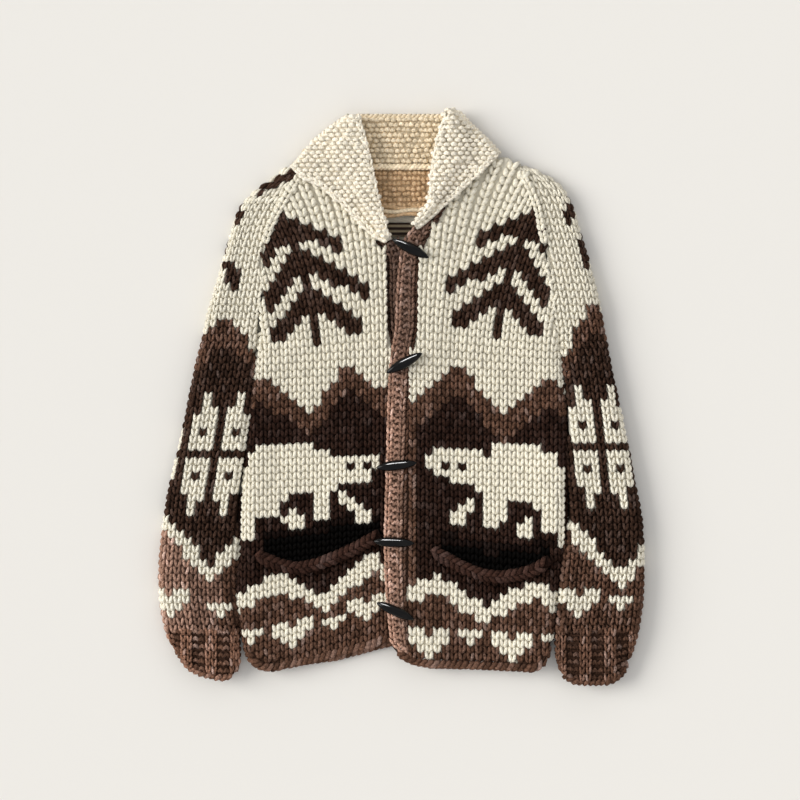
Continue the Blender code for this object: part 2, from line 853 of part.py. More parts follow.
def add_toggle(number, x, height, angle):
    """A spindle of horn lying on the right band, turned from its profile."""
    half = TOGGLE_LENGTH / 2
    name = f"toggle_{number}"
    profile = ((0.0, 1.0), (0.2, 0.985), (0.36, 0.9), (0.62, 0.66), (0.88, 0.36), (1.0, 0.05),
               (0.92, -0.3), (0.66, -0.62), (0.38, -0.88), (0.2, -0.985), (0.0, -1.0))
    points = [(TOGGLE_RADIUS * out * MM, 0.0, half * along * MM) for out, along in profile]
    mesh = bpy.data.meshes.new(name)
    mesh.from_pydata(points, [(i, i + 1) for i in range(len(points) - 1)], [])
    mesh.materials.append(material(name, COLOURS["horn"], roughness=0.16))
    toggle = bpy.data.objects.new(name, mesh)
    parts.objects.link(toggle)
    screw = toggle.modifiers.new("turned", "SCREW")
    screw.steps = screw.render_steps = TOGGLE_SIDES
    screw.use_merge_vertices = True
    screw.merge_threshold = MERGE
    screw.use_smooth_shade = True
    level = REST_TOP + LAP + GAP + TOGGLE_RADIUS
    toggle.parent = root
    toggle.location = (x * MM, (height - LENGTH / 2) * MM, level * MM)
    toggle.rotation_euler = (0.0, math.radians(90), math.radians(angle))


def build():
    back = add_back()
    add_hem("hem_back", *back)
    for side in ("left", "right"):
        front = add_front(side)
        add_hem(f"hem_{side}", *front, under_band=under_band(side))
        add_sleeve(side)
        add_cuff(side)
        add_band(side)
        add_pocket_edge(side)
        add_wing(side)
    add_collar_back()
    for patch in each(NECK_PATCHES):
        add_patch(*patch)
    for number, (x, height, angle) in enumerate(each(TOGGLES), start=1):
        add_toggle(number, x, height, angle)


for old in list(bpy.data.objects):
    bpy.data.objects.remove(old, do_unlink=True)
parts = bpy.data.collections.new("toggle_cardigan")
bpy.context.scene.collection.children.link(parts)
root = bpy.data.objects.new("cardigan", None)
parts.objects.link(root)
build()
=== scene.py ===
"""Looks of a hand-knitted toggle cardigan that lies flat on a pale floor.

Sizes are in millimetres, with heights measured up the garment from its lowest
cuff, and turned to metres when a mesh is made. Every stitch is a pair of yarn
strands on the surface of its panel.
"""

import math

import bmesh
import bpy
import numpy as np
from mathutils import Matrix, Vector
from mathutils.bvhtree import BVHTree
from mathutils.kdtree import KDTree

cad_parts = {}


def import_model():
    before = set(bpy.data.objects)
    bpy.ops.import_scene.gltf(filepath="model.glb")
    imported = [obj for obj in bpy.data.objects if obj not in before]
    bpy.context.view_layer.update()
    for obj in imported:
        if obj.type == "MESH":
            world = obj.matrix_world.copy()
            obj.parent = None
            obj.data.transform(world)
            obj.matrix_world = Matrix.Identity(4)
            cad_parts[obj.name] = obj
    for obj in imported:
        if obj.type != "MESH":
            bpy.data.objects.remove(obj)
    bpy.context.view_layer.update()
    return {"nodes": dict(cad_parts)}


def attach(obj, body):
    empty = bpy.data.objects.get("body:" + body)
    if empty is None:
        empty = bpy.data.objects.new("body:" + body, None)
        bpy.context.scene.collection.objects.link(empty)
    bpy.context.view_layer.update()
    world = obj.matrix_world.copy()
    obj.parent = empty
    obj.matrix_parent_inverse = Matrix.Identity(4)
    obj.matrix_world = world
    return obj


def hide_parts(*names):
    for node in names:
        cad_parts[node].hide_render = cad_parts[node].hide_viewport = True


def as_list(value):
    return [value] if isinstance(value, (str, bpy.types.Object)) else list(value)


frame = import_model()

MM = 0.001
LENGTH = 779.0
STITCH = 11.2
ROW = 9.8
FIRST_ROW = 20.0
FOLD_CORNER = 15.0
FOLD_RADIUS = 14.5
SIDE_LEVEL = 15.6
QUARTER = math.pi / 2
# The way out from the middle on each side
OWN = {"left": -1, "right": 1}
# Starts of rays, well outside the garment: over it, under it, beside it, behind a fold
OVER = 90
UNDER = -40
BESIDE = 420
FOLD_RAY = 70
FLOOR_GAP = 0.25
# A stitch colours the cloth under it this far
STITCH_REACH = 11
BACK_LEVEL = 13.5
CUFF_PITCH = 8.35
CUFF_ROW = 8.6
BAND_STEP = 8.6
CUFF_TOP = 77.6
CUFF_RADIUS = 13.5
SLEEVE_ROW = 71
BACK_ROW = 36
BACK_ROWS = 68
SLEEVE_ROWS = 65
chance = np.random.default_rng(12)


def linear(red, green, blue):
    """A colour given in 0 to 255, as scene-linear values."""
    parts = np.array((red, green, blue)) / 255
    return np.where(parts <= 0.04045, parts / 12.92, ((parts + 0.055) / 1.055) ** 2.4)


TONES = {
    "cream": linear(238, 231, 212),
    "motif": linear(244, 237, 218),
    "collar": linear(252, 243, 224),
    "inside": linear(243, 225, 194),
    # Painted shade: the facing's tan is the cream darkened and warmed, for the shade and the warm
    # light bounced from the cream in the neck well
    "facing": linear(216, 183, 143),
    "mid": linear(101, 73, 58),
    # dark and the next tone are shaded and lit copies of one dark-brown yarn: dark, on the fronts
    # and back, is painted darker as shade; the next, on the firs and sleeves, is its lit copy
    "dark": linear(50, 33, 26),
    "bark": linear(64, 45, 35),
    # pink is the bands' yarn, and also paints the lit outer side of the left sleeve; the next tone
    # is the mid brown painted lighter, for the lit part beside it
    "pink": linear(166, 130, 111),
    "fawn": linear(136, 105, 89),
    # Painted shade of the pocket mouths: half shade on the next line, the darkest shade two lines
    # below it; edge is the pocket edges' own yarn
    "dusk": linear(28, 18, 14),
    "edge": linear(66, 44, 36),
    "deep": linear(7, 5, 4),
    "label_dark": linear(48, 36, 30),
    "label_light": linear(176, 160, 132),
}
# How much the yarn's lightness differs from strand to strand
HEATHER = {
    "mid": 0.38, "dark": 0.38, "bark": 0.38, "pink": 0.28, "fawn": 0.3, "dusk": 0.3,
    "edge": 0.34, "collar": 0.07, "inside": 0.08, "facing": 0.12,
}
# How dark the cloth lies between the strands: painted shade, the share of its yarn's colour that it
# keeps
GAP_SHADE = {"cream": 0.87, "motif": 0.87, "collar": 0.94, "inside": 0.8, "facing": 0.72}

# Lower edge of the cream yoke, and middle line of the zigzag, across both fronts
YOKE = (
    (-254, 372), (-188, 416), (-122, 369), (-71, 435), (-23, 396),
    (18, 382), (79, 430), (135, 362), (198, 412), (262, 366),
)
ZIGZAG = (
    (-240, 102), (-160, 139), (-103, 108), (-38, 167), (-4, 132),
    (2, 114), (49, 136), (112, 93), (178, 130), (226, 98),
)
YOKE_DEPTH = 35.0
ZIGZAG_HALF = 12.8
SLEEVE_ZIGZAG = {
    "left": ((-336, 238), (-258, 149), (-215, 191)),
    "right": ((222, 220), (294, 142), (334, 182)),
}
SLEEVE_YOKE = {
    "left": ((-300, 440), (-272, 466), (-242, 492), (-226, 489), (-210, 468), (-200, 447)),
    "right": ((222, 444), (230, 466), (241, 489), (256, 510), (266, 510), (276, 494)),
}

BEAR_LEFT = (
    "..XXXXXXX........",
    ".XXXXXXXXXX......",
    ".XXXXXXXXXXXXXXXX",
    "XXXXXXXXXXXXX.X.X",
    "XXXXXXXXXXXXXXXX.",
    "XXXXXXXXXXXXXXXX.",
    "XXXXXXXXXXXX.....",
    "XXXXXX...XX.X....",
    "XXXXX....XX.XX...",
    "XXXXX.X..XX..XX..",
    "XX...XXX.XX...XX.",
    "XX....XX......XX.",
    "XX...............",
)
BEAR_RIGHT = (
    "...XXXXXX........",
    ".XXXXXXXX.XXXXXX.",
    ".XXXXXXXXXXXXXXXX",
    "XXXXXXXXXXXX.X.XX",
    "XXXXXXXXXXXXXXXX.",
    "XXXXXXXXXXXXXX...",
    "XXXXXXXXXXX......",
    "XXXXXXXXXX.......",
    "XXXX...XXX.X.....",
    "XXX....XXX.XX....",
    "XXX.X..XXX..XX...",
    "XXX.XX..XX..XX...",
    "X...XX...........",
    "X................",
)
FIR = (
    "......X......",
    ".....XXX.....",
    "....XXXXX....",
    "...XXXXXXX...",
    "..XX..X..XX..",
    "..X..XXX..X..",
    "....XXXXX....",
    "...XXXXXXX...",
    "..XXX.X.XXX..",
    ".XXX..X..XXX.",
    ".XX..XXX...XX",
    ".X..XXXXX...X",
    "...XXXXXXX...",
    "..XXX.X.XXX..",
    ".XXX..X..XXX.",
    ".XX...X...XX.",
    "......X......",
)
FLAKE = (
    "...X...X...",
    "...X...X...",
    "...XX.XX...",
    "..XXX.XXX..",
    "..XXX.XXX..",
    "X.X.X.X.X.X",
    "X.XXX.XXX.X",
    "X.XXX.XXX.X",
    "...........",
    "X.XXX.XXX.X",
    "X.XXX.XXX.X",
    "X.X.X.X.X.X",
    "..XXX.XXX..",
    "..XXX.XXX..",
    "...XX.XX...",
    "...X...X...",
    "...X...X...",
)
HEART = ("XX.XX", "XXXXX", ".XXX.", "..X..")
CROSS = ("XXX", ".X.")

TIP = ("..XXX", ".XXXX", "XXX..", ".X...")
END = ("XX.", ".XX", ".XX", "..X")

# Charts on each panel: the middle column counted outwards, the top row, and the yarn
MOTIFS = {
    "left": (
        (BEAR_LEFT, 10, 30, "motif"), (FIR, 9, 60, "bark"),
        (HEART, 12, 5, "motif"), (HEART, 3, 6, "motif"),
        (CROSS, 17, 5, "motif"), (CROSS, 7, 4, "motif"),
    ),
    "right": (
        (BEAR_RIGHT, 11, 30, "motif"), (FIR, 11, 61, "bark"),
        (HEART, 3, 4, "motif"), (HEART, 13, 4, "motif"),
        (CROSS, 8, 4, "motif"), (CROSS, 18, 4, "motif"),
    ),
    "sleeve_left": (
        (FLAKE, -1, 37, "motif"), (HEART, 3, 10, "motif"),
        (CROSS, -3, 8, "motif"), (FIR, 8, 72, "bark"),
        (TIP, 0, 68, "bark"), (END, 1, 55, "bark"),
    ),
    "sleeve_right": (
        (FLAKE, 0, 38, "motif"), (HEART, -3, 10, "motif"),
        (CROSS, 2, 9, "motif"), (FIR, 7, 72, "bark"),
        (END, 3, 58, "bark"),
    ),
}
# The first column of each front starts this far from the middle
PHASE = {"left": 6.4, "right": -1.7}

# Soft troughs and ridges of the cloth: x, height, length, width, angle, rise
SWELLS = (
    (-196, 300, 70, 20, 84, 1.6), (-168, 470, 80, 22, 62, -2.2), (-90, 520, 90, 24, 100, 1.6),
    (-60, 330, 60, 26, 20, 1.4), (-130, 140, 70, 26, 165, 1.4), (-70, 96, 60, 24, 20, -1.4),
    (150, 505, 90, 24, 115, -2.4), (96, 480, 80, 26, 75, 1.8), (196, 270, 80, 20, 92, 1.6),
    (120, 330, 70, 30, 160, 1.6), (90, 120, 70, 26, 10, 1.4), (170, 90, 60, 22, 70, -1.4),
    (-290, 200, 60, 22, 60, 1.8), (-262, 330, 60, 20, 50, -1.8), (-245, 520, 60, 18, 40, 1.4),
    (286, 190, 60, 22, 120, 1.8), (262, 320, 60, 20, 130, -1.8), (248, 520, 60, 18, 140, 1.4),
)


def ease(t):
    t = np.clip(t, 0, 1)
    return t * t * (3 - 2 * t)


def unit(vectors):
    return vectors / np.maximum(np.linalg.norm(vectors, axis=-1, keepdims=True), 1e-9)


def travel(path):
    """How far along a line each of its points lies."""
    return np.concatenate([[0], np.cumsum(np.linalg.norm(np.diff(path, axis=0), axis=1))])


def along_line(path, at):
    """Points of a line at these distances along it."""
    travelled = travel(path)
    return np.stack([np.interp(at, travelled, values) for values in path.T], axis=-1)


def swell(points):
    """How far the cloth's upper layers are lifted at these points."""
    x, height, level = points[..., 0], points[..., 1], points[..., 2]
    rise = np.zeros_like(x)
    for at_x, at_height, length, width, angle, most in SWELLS:
        turn = math.radians(angle)
        along = (x - at_x) * math.cos(turn) + (height - at_height) * math.sin(turn)
        across = (height - at_height) * math.cos(turn) - (x - at_x) * math.sin(turn)
        rise += most * np.exp(-((along / length) ** 2) * 3 - (across / width) ** 2)
    return rise * ease((level - 8) / 10) * ease((np.abs(x) - 30) / 30) * ease((660 - height) / 60)


def world(points):
    """Millimetres with heights from the lowest cuff, to metres."""
    moved = np.array(points, float)
    moved[..., 2] = np.maximum(moved[..., 2] + swell(moved), FLOOR_GAP)
    moved[..., 1] -= LENGTH / 2
    return moved * MM


trees = {}
for node_name, node in frame["nodes"].items():
    data = node.data
    trees[node_name] = BVHTree.FromPolygons(
        [vertex.co.copy() for vertex in data.vertices],
        [tuple(face.vertices) for face in data.polygons],
    )


def cast(node_name, start, way):
    """The first point of a piece met from start, or None."""
    origin = Vector((start[0] * MM, (start[1] - LENGTH / 2) * MM, start[2] * MM))
    hit = trees[node_name].ray_cast(origin, Vector(way))[0]
    return None if hit is None else (hit.x / MM, hit.y / MM + LENGTH / 2, hit.z / MM)


reaches = {}


def reach_of(node_name, own, height, level=SIDE_LEVEL):
    """How far a piece reaches to its own side at this height."""
    key = (node_name, own, round(height / 3), level)
    if key not in reaches:
        hit = cast(node_name, (own * BESIDE, round(height / 3) * 3, level), (-own, 0, 0))
        reaches[key] = None if hit is None else own * hit[0]
    return reaches[key]


def from_above(node_name, x, height):
    return cast(node_name, (x, height, OVER), (0, 0, -1))


def heights_of(node_name, x, heights):
    """Those of the heights at which a piece lies under x."""
    return [height for height in heights if from_above(node_name, x, height) is not None]


def round_fold(node_name, own, x, height, flat, middle, limit):
    """A point past a fold's flat top: round the fold, and on along the underside."""
    turn = (x - flat) / FOLD_RADIUS
    if turn > limit:
        return None
    if turn > math.pi:
        back = flat - (turn - math.pi) * FOLD_RADIUS
        return cast(node_name, (own * back, height, UNDER), (0, 0, 1))
    way = (own * math.sin(turn), math.cos(turn))
    start = (own * flat + FOLD_RAY * way[0], height, middle + FOLD_RAY * way[1])
    return cast(node_name, start, (-way[0], 0, -way[1]))


# How much the rows of the fronts slope, by height
UPPER_SLOPE = ((200, 0.09), (300, 0.04), (420, 0.06), (480, 0.12), (600, 0.26), (720, 0.32))
ROW_SLOPE = {
    "left": ((45, 0.28), (110, 0.2), *UPPER_SLOPE),
    "right": ((45, 0.03), (110, 0.1), *UPPER_SLOPE),
}
LEAN_START = 430.0
LEAN = 0.0012


def front_point(side, out, up):
    """Fabric coordinates of a front, to a point: columns lean outwards above the chest."""
    own = OWN[side]
    node_name = f"front_{side}"
    height = up + np.interp(up, *zip(*ROW_SLOPE[side])) * max(180 - out, -20)
    x = out + LEAN * max(height - LEAN_START, 0) ** 2 * ease(out / 120)
    reach = reach_of(node_name, own, max(height, 80))
    if reach is None or height > 500 or x <= reach - FOLD_CORNER:
        return from_above(node_name, own * x, height)
    return round_fold(node_name, own, x, height, reach - FOLD_CORNER, SIDE_LEVEL - 1.2, QUARTER)


def back_point(out, up):
    """The underside: flat on the floor, and turned up at both side seams."""
    own = -1 if out < 0 else 1
    reach = reach_of("back", own, max(up, 80), 12.0)
    if reach is None or up > 500 or abs(out) <= reach - FOLD_CORNER:
        return cast("back", (out, up, UNDER), (0, 0, 1))
    turn = (abs(out) - reach + FOLD_CORNER) / FOLD_RADIUS
    if turn > QUARTER:
        return None
    way = (own * math.sin(turn), -math.cos(turn))
    flat = reach - FOLD_CORNER
    start = (own * flat + FOLD_RAY * way[0], up, BACK_LEVEL + FOLD_RAY * way[1])
    return cast("back", start, (-way[0], 0, -way[1]))


SLEEVE_END = 79.0


def sleeve_point(side, out, up):
    """out runs from the sleeve's middle line over its outer fold to the underside."""
    if up < SLEEVE_END:
        point = sleeve_point(side, out, SLEEVE_END)
        return None if point is None else (point[0], point[1] + up - SLEEVE_END, point[2])
    own = OWN[side]
    node_name = f"sleeve_{side}"
    outer = reach_of(node_name, own, up, 13.0)
    inner = reach_of(f"front_{side}", own, min(max(up, 62), 690), SIDE_LEVEL if up < 470 else 20.0)
    if outer is None or inner is None:
        return None
    flat = outer - FOLD_CORNER
    middle = (outer + inner) / 2
    x = middle + out
    if x < inner:
        return None
    if x <= flat:
        return from_above(node_name, own * x, up)
    limit = (outer - inner) / FOLD_RADIUS + math.pi - 0.8
    return round_fold(node_name, own, x, up, flat, BACK_LEVEL, limit)


def lattice(point, columns, rows):
    """Surface points every half stitch and half row."""
    grid = np.full((len(rows), len(columns), 3), np.nan)
    for a, up in enumerate(rows):
        for b, out in enumerate(columns):
            found = point(out, up)
            if found is not None:
                grid[a, b] = found
    return grid


def spans(grid):
    """Middle, sideways span and upward span of each whole stitch of a lattice, and which exist."""
    middle = grid[1::2, 1::2]
    after, before = grid[1::2, 2::2], grid[1::2, :-2:2]
    above, below = grid[2::2, 1::2], grid[:-2:2, 1::2]
    side = after - before
    side = np.where(np.isnan(side), 2 * (after - middle), side)
    side = np.where(np.isnan(side), 2 * (middle - before), side)
    up = above - below
    up = np.where(np.isnan(up), 2 * (above - middle), up)
    up = np.where(np.isnan(up), 2 * (middle - below), up)
    missing = [np.isnan(points).any(-1) for points in (middle, side, up)]
    there = ~np.logical_or.reduce(missing)
    return middle, side, up, there


def limited(vectors, size):
    """Spans kept near the stitch's own size, where the surface drops away."""
    long = np.linalg.norm(vectors, axis=-1, keepdims=True)
    return vectors * np.clip(long, 0.75 * size, 1.45 * size) / np.maximum(long, 1e-9)


def tint(names, light=1.0):
    """A colour and a heather share for each strand, slightly uneven."""
    colour = np.array([TONES[name] for name in names])
    spread = np.array([HEATHER.get(name, 0.045) for name in names])
    shift = np.exp(spread * chance.normal(size=len(names)).clip(-1.6, 2.2))
    shaded = colour * (shift * light)[:, None]
    pale = 0.5 * np.clip(np.log(shift), 0, 1)[:, None]
    shaded += pale * (shaded.mean(axis=1, keepdims=True) - shaded)
    return np.concatenate([shaded, spread[:, None]], axis=1)


# Painted shade: the share of the light left, falling from 1 at 370 mm up the garment to least at
# 470 mm and above
def shade_high_up(points, least):
    return np.interp(points[:, 1], (370, 470), (1.0, least))


class Yarn:
    """Strands of one mesh: lines of five points with a radius at each."""

    def __init__(self):
        self.lines, self.normals, self.radii, self.tones = [], [], [], []

    def add(self, lines, normals, radii, tones):
        self.lines.append(lines)
        self.normals.append(normals)
        self.radii.append(np.broadcast_to(radii, lines.shape[:2]))
        self.tones.append(tones)

    def knit(self, middle, side, up, names, fat=1.0, raised=0.0, light=1.0):
        """A V of two strands for each stitch."""
        normal = unit(np.cross(side, up))
        size = np.linalg.norm(side, axis=-1, keepdims=True) / STITCH
        for hand in (-1, 1):
            across = hand * np.array((0.04, 0.14, 0.235, 0.315, 0.37))
            along = np.array((-0.58, -0.27, 0.07, 0.42, 0.74))
            level = np.array((-2.8, -1.0, 0.1, -0.5, -2.2)) + raised
            jitter = chance.normal(size=(len(middle), 1, 3)) * 0.22
            lines = (
                middle[:, None] + side[:, None] * across[:, None] + up[:, None] * along[:, None]
                + normal[:, None] * level[:, None] + jitter
            )
            radii = np.array((0.8, 2.2, 2.65, 2.25, 0.8)) * size * fat
            radii = radii * chance.normal(1, 0.05, (len(middle), 1))
            self.add(lines, normal, radii, tint(names, light))

    def bump(self, middle, side, up, names, fat=1.0, raised=0.0, curl=0.18, light=1.0):
        """A purl bump for each stitch: a short strand across it, bowed upwards."""
        normal = unit(np.cross(side, up))
        across = np.array((-0.46, -0.26, 0.0, 0.26, 0.46))
        along = curl * np.array((-1.0, 0.4, 1.0, 0.4, -1.0))
        level = np.array((-2.6, -0.6, 0.3, -0.6, -2.6)) + raised
        jitter = chance.normal(size=(len(middle), 1, 3)) * 0.3
        lines = (
            middle[:, None] + side[:, None] * across[:, None] + up[:, None] * along[:, None]
            + normal[:, None] * level[:, None] + jitter
        )
        radii = np.array((1.1, 2.2, 2.6, 2.2, 1.1)) * fat
        radii = radii * chance.normal(1, 0.07, (len(middle), 1))
        self.add(lines, normal, radii, tint(names, light))

    def rope(self, path, name, radius=4.0, step=6.0, slant=1.2, start=-0.35, sweep=3.4,
             fat=0.62, light=1.0):
        """Slanting strands wound over a line of points."""
        path = np.asarray(path, float)
        starts = np.arange(0, travel(path)[-1] - 0.5 * step, step)
        turn = start + sweep * np.linspace(0, 1, 5)
        at = starts[:, None] + slant * step * np.linspace(-0.5, 1.0, 5)
        centre = along_line(path, at)
        way = unit(along_line(path, at + 1) - along_line(path, at - 1))
        out = unit(np.cross(way, (0.0, 0.0, 1.0)))
        over = np.cross(out, way)
        reach = radius * (1 - fat / 2)
        lines = centre + reach * (np.cos(turn)[:, None] * out + np.sin(turn)[:, None] * over)
        radii = fat * radius * np.array((0.5, 0.9, 1.0, 0.9, 0.5))
        radii = radii * chance.normal(1, 0.06, (len(starts), 1))
        self.add(lines, over[:, 2], radii, tint([name] * len(starts), light))

    def chain(self, path, name, width=9.0, step=9.0, fat=1.0, raised=0.0, light=1.0, light_high_up=1.0):
        """A line of V stitches along points; the last argument is how much of the light is left
        high up, where the stitches are painted into shade.
        """
        path = np.asarray(path, float)
        at = np.arange(0.5 * step, travel(path)[-1], step)
        middle = along_line(path, at)
        up = unit(along_line(path, at + 2) - middle) * step
        side = unit(np.cross(up, (0.0, 0.0, 1.0))) * width
        self.knit(middle, side, up, [name] * len(at), fat, raised, light * shade_high_up(middle, light_high_up))

    def make(self, name, slot_name, sides=5):
        lines = np.concatenate(self.lines)
        normals = np.concatenate(self.normals)
        radii = np.concatenate(self.radii)
        tones = np.concatenate(self.tones)
        count, length = lines.shape[:2]
        way = unit(np.gradient(lines, axis=1))
        across = unit(np.cross(way, normals[:, None]))
        over = np.cross(across, way)
        angles = 2 * math.pi * (np.arange(sides) + 0.5) / sides
        ring = (
            lines[:, :, None]
            + radii[:, :, None, None] * np.cos(angles)[:, None] * across[:, :, None]
            + radii[:, :, None, None] * np.sin(angles)[:, None] * over[:, :, None]
        )
        points = world(ring.reshape(-1, 3))
        base = np.arange(count)[:, None, None] * length * sides
        step = np.arange(length - 1)[None, :, None] * sides
        near = np.arange(sides)[None, None]
        far = (near + 1) % sides
        walls = np.stack([base + step + near, base + step + far, base + step + sides + far,
                          base + step + sides + near], axis=-1).reshape(-1, 4)
        ends = np.arange(count)[:, None] * length * sides
        low = ends + np.arange(sides)[::-1]
        high = ends + (length - 1) * sides + np.arange(sides)
        mesh = bpy.data.meshes.new(name)
        mesh.from_pydata(points.tolist(), [], walls.tolist() + low.tolist() + high.tolist())
        mesh.shade_smooth()
        # Painted shade: each strand darkens towards both ends, where it tucks under its neighbours
        shade = np.array((0.62, 0.92, 1.0, 0.92, 0.62))
        colours = np.repeat(tones, length * sides, axis=0)
        colours[:, :3] *= np.tile(np.repeat(shade, sides), count)[:, None]
        paint(mesh, colours)
        twist = mesh.uv_layers.new(name="twist")
        along = np.arange(length - 1)[:, None, None] / (length - 1)
        after = along + 1 / (length - 1)
        around = np.arange(sides)[None, :, None] / sides
        beyond = around + 1 / sides
        along, after, around, beyond = np.broadcast_arrays(along, after, around, beyond)
        u = np.concatenate([along, along, after, after], axis=-1)
        v = np.concatenate([around, beyond, beyond, around], axis=-1)
        wall_uv = np.tile(np.stack([u, v], axis=-1).reshape(-1, 2), (count, 1))
        cap_uv = np.full((2 * count * sides, 2), 0.5)
        twist.data.foreach_set("uv", np.concatenate([wall_uv, cap_uv]).astype(np.float32).ravel())
        mesh.materials.append(yarn_material(slot_name))
        made = add_object(name, mesh)
        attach(made, "root")
        return made


def add_object(name, data):
    made = bpy.data.objects.new(name, data)
    bpy.context.scene.collection.objects.link(made)
    return made


def paint(mesh, colours):
    """Store a colour and a heather share at each point of a mesh."""
    layer = mesh.color_attributes.new("tone", "FLOAT_COLOR", "POINT")
    layer.data.foreach_set("color", colours.astype(np.float32).ravel())


def add_node(tree, kind, **values):
    node = tree.nodes.new(kind)
    for key, value in values.items():
        setattr(node, key, value)
    return node


def noise(tree, where, scale, detail):
    node = add_node(tree, "ShaderNodeTexNoise")
    node.inputs["Scale"].default_value = scale
    node.inputs["Detail"].default_value = detail
    tree.links.new(where, node.inputs["Vector"])
    return node.outputs["Fac"]


def maths(tree, operation, *values):
    """A maths node; each value is a number or the socket that gives it."""
    node = add_node(tree, "ShaderNodeMath", operation=operation)
    for socket, value in zip(node.inputs, values):
        if isinstance(value, (int, float)):
            socket.default_value = value
        else:
            tree.links.new(value, socket)
    return node.outputs[0]


def relief(tree, shader, height, strength, distance):
    bump = add_node(tree, "ShaderNodeBump")
    bump.inputs["Strength"].default_value = strength
    bump.inputs["Distance"].default_value = distance
    tree.links.new(height, bump.inputs["Height"])
    tree.links.new(bump.outputs["Normal"], shader.inputs["Normal"])


materials = {}


def yarn_material(slot_name):
    """Wool: strand colour with fine fibres, a ply twist and a soft sheen."""
    name = f"{slot_name}_yarn"
    if name in materials:
        return materials[name]
    made = bpy.data.materials.new(name)
    made.use_nodes = True
    tree = made.node_tree
    link = tree.links.new
    shader = tree.nodes["Principled BSDF"]
    tone = add_node(tree, "ShaderNodeVertexColor", layer_name="tone")
    where = add_node(tree, "ShaderNodeTexCoord").outputs["Object"]
    fibre = noise(tree, where, 900, 3)
    patches = noise(tree, where, 28, 2)
    uv = add_node(tree, "ShaderNodeUVMap", uv_map="twist")
    split = add_node(tree, "ShaderNodeSeparateXYZ")
    link(uv.outputs["UV"], split.inputs["Vector"])
    turns = maths(tree, "MULTIPLY_ADD", split.outputs["X"], 2.0, split.outputs["Y"])
    ply = maths(tree, "SINE", maths(tree, "MULTIPLY", turns, 4 * math.pi))
    light = maths(tree, "MULTIPLY_ADD", fibre, 0.5, 0.72)
    patchy = maths(tree, "MULTIPLY_ADD", patches, 0.16, light)
    twisted = maths(tree, "MULTIPLY_ADD", ply, 0.07, patchy)
    even = maths(tree, "SUBTRACT", noise(tree, where, 430, 2), 0.5)
    mixed = maths(tree, "MULTIPLY", even, tone.outputs["Alpha"])
    heather = maths(tree, "MULTIPLY_ADD", mixed, 7.0, twisted)
    shaded = add_node(tree, "ShaderNodeVectorMath", operation="SCALE")
    link(tone.outputs["Color"], shaded.inputs[0])
    link(heather, shaded.inputs["Scale"])
    link(shaded.outputs[0], shader.inputs["Base Color"])
    link(tone.outputs["Color"], shader.inputs["Sheen Tint"])
    relief(tree, shader, maths(tree, "MULTIPLY_ADD", ply, 0.35, fibre), 0.55, 0.0009)
    shader.inputs["Roughness"].default_value = 0.88
    shader.inputs["Specular IOR Level"].default_value = 0.02
    shader.inputs["Sheen Weight"].default_value = 0.08
    shader.inputs["Sheen Roughness"].default_value = 0.5
    materials[name] = made
    return made


def shell(node_name, tone_at, slot_name, sink=2.2, step=9.0, gap_shade=None, stitches=None):
    """The cloth under the stitches: a thin shell inside its solid's form, painted darker as the
    shade between the strands.
    """
    edit = bmesh.new()
    edit.from_mesh(frame["nodes"][node_name].data)
    bmesh.ops.remove_doubles(edit, verts=edit.verts, dist=0.000002)
    for _ in range(3):
        long = [edge for edge in edit.edges if edge.calc_length() > step * MM]
        bmesh.ops.subdivide_edges(edit, edges=long, cuts=1, use_grid_fill=True)
    bmesh.ops.triangulate(edit, faces=[face for face in edit.faces if len(face.verts) > 4])
    edit.normal_update()
    moved = [vertex.co - vertex.normal * sink * MM for vertex in edit.verts]
    for vertex, place in zip(edit.verts, moved):
        vertex.co = place
    mesh = bpy.data.meshes.new(f"cloth_{node_name}")
    edit.to_mesh(mesh)
    edit.free()
    points = np.array([vertex.co for vertex in mesh.vertices]) / MM
    points[:, 1] += LENGTH / 2
    mesh.vertices.foreach_set("co", world(points).astype(np.float32).ravel())
    mesh.shade_smooth()
    names = [tone_at(x, height) for x, height, _ in points]
    if stitches:
        tree = KDTree(len(stitches[0]))
        for index, middle in enumerate(stitches[0]):
            tree.insert(middle, index)
        tree.balance()
        for index, point in enumerate(points):
            _, nearest, distance = tree.find(point)
            if distance < STITCH_REACH:
                names[index] = stitches[1][nearest]
    tones = tint(names)
    # Painted shade: the cloth between the strands is a darker copy of their yarn
    share = np.array([GAP_SHADE.get(name, 0.42) if gap_shade is None else gap_shade for name in names])
    tones[:, :3] = np.array([TONES[name] for name in names]) * share[:, None]
    paint(mesh, tones)
    mesh.uv_layers.new(name="twist")
    mesh.materials.append(yarn_material(slot_name))
    made = add_object(f"cloth_{node_name}", mesh)
    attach(made, "root")
    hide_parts(node_name)
    return made


# Middle lines of the pocket edges; above each sagging mouth the front's dark stitches and the cloth
# under them are painted in the darkest shade, and higher up in half shade
POCKETS = {
    "left": ((-196, 178), (-182, 171), (-162, 163), (-137, 159), (-107, 166), (-77, 178),
             (-48, 193), (-27, 205)),
    "right": ((40, 184), (58, 173), (82, 160), (116, 148), (152, 149), (182, 158), (202, 171)),
}


# Painted shade: the shade that a point just above a pocket edge is painted in, or None
def in_mouth(x, height):
    side = "left" if x < 0 else "right"
    line = POCKETS[side]
    share = (x - line[0][0]) / (line[-1][0] - line[0][0])
    above = height - np.interp(x, *zip(*line))
    if not 0.08 < share < 0.98 or above < 0:
        return None
    deepest = (30 if side == "left" else 18) * (4 * share * (1 - share)) ** 0.8
    return "deep" if above < 10 + deepest else "dusk" if above < 24 + deepest else None


